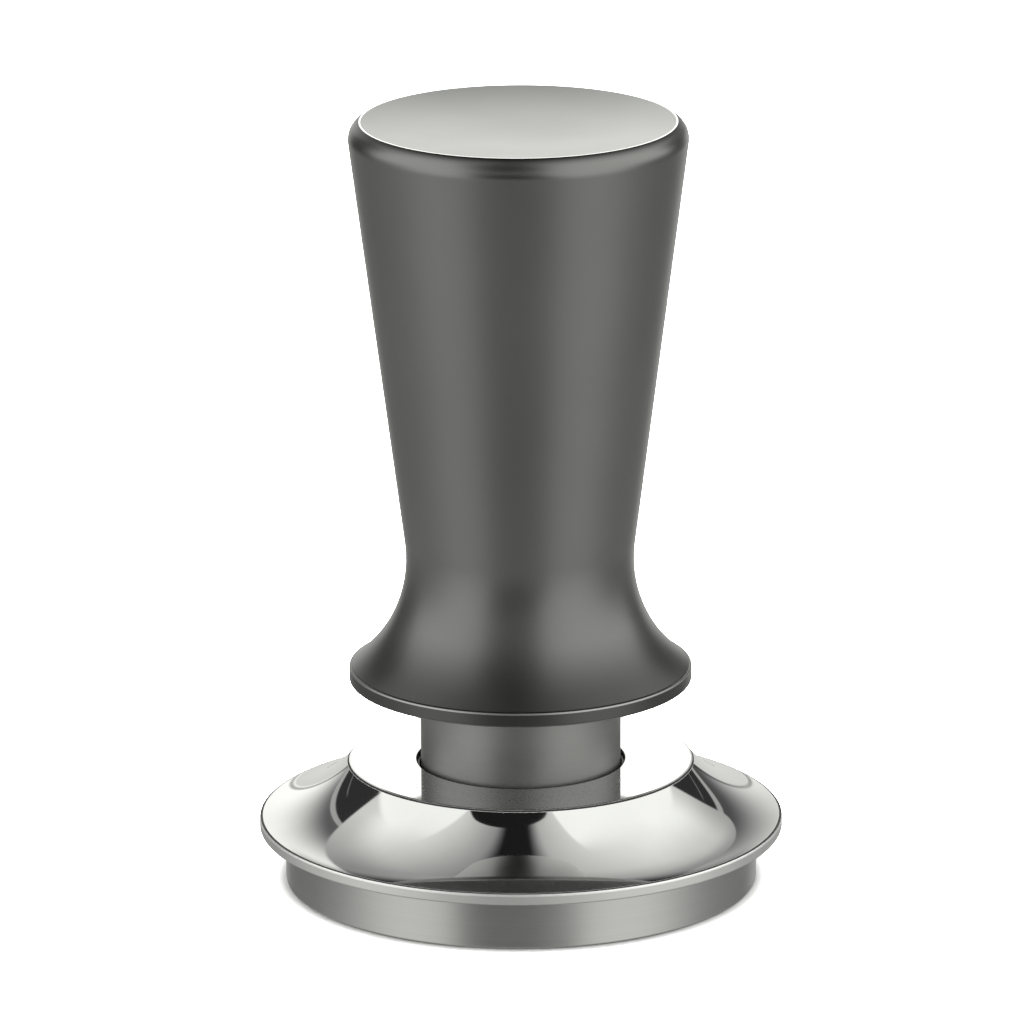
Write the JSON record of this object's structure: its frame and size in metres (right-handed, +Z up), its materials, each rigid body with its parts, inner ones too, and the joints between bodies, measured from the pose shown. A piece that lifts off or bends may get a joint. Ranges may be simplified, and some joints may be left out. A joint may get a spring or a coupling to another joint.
{
  "type": "espresso tamper",
  "caption": "Espresso tamper: tapered handle with a flared foot, pressed down a spring-loaded neck onto a flat round base, with a sliding levelling ring between them.",
  "frame": {"origin": "centre of the flat tamping face, where the tamper stands on a table", "axes": "+Z up along the tamper's axis towards the handle; X and Y lie in the tamping face"},
  "size_m": [0.0648, 0.0648, 0.0961],
  "materials": {
    "base_steel": "fine turned satin stainless steel",
    "mirror_steel": "mirror polished stainless steel",
    "neck_steel": "satin grey turned stainless steel",
    "handle_anodised": "satin titanium-grey anodised aluminium",
    "end_ring_anodised": "satin titanium-grey anodised aluminium",
    "acetal_black": "smooth black acetal",
    "acetal_white": "smooth natural acetal",
    "seal_rubber": "black nitrile rubber",
    "buffer_urethane": "red-brown polyurethane",
    "spring_steel": "drawn spring steel wire",
    "rod_steel": "ground stainless steel",
    "clip_steel": "black phosphated spring steel",
    "hardware_steel": "plain stainless steel"
  },
  "bodies": {
    "base": {"tamping_base": "base_steel", "base_seal_ring": "seal_rubber", "neck_sleeve": "neck_steel", "neck_wear_ring": "acetal_white", "rod_bush": "acetal_white", "lower_spring_seat": "hardware_steel", "main_spring": "spring_steel", "ring_buffer": "seal_rubber"},
    "ring_carrier": {"ring_guide_bush": "acetal_black"},
    "ring": {"levelling_ring": "mirror_steel", "ring_bush_clip": "clip_steel"},
    "spring_cap": {"upper_spring_seat": "hardware_steel", "thrust_washer": "acetal_white"},
    "handle": {"handle_body": "handle_anodised", "handle_end_ring": "end_ring_anodised", "handle_guide_bush": "acetal_white", "neck_wiper_ring": "seal_rubber", "guide_rod": "rod_steel", "rod_lock_nut": "hardware_steel", "stop_washer": "hardware_steel", "stop_buffer": "buffer_urethane"}
  },
  "joints": [
    {"name": "ring_lift", "type": "slide", "parent": "base", "child": "ring_carrier", "axis": [0, 0, 1], "range_m": [0, 0.006]},
    {"name": "ring_spin", "type": "hinge", "parent": "ring_carrier", "child": "ring", "pos_m": [0, 0, 0.0128], "axis": [0, 0, 1], "continuous": true},
    {"name": "handle_press", "type": "slide", "parent": "base", "child": "spring_cap", "axis": [0, 0, -1], "range_m": [0, 0.004], "stiffness_N_per_m": 6120, "springref_m": -0.0218, "deforming": ["main_spring"]},
    {"name": "handle_spin", "type": "hinge", "parent": "spring_cap", "child": "handle", "pos_m": [0, 0, 0.078], "axis": [0, 0, 1], "continuous": true}
  ]
}
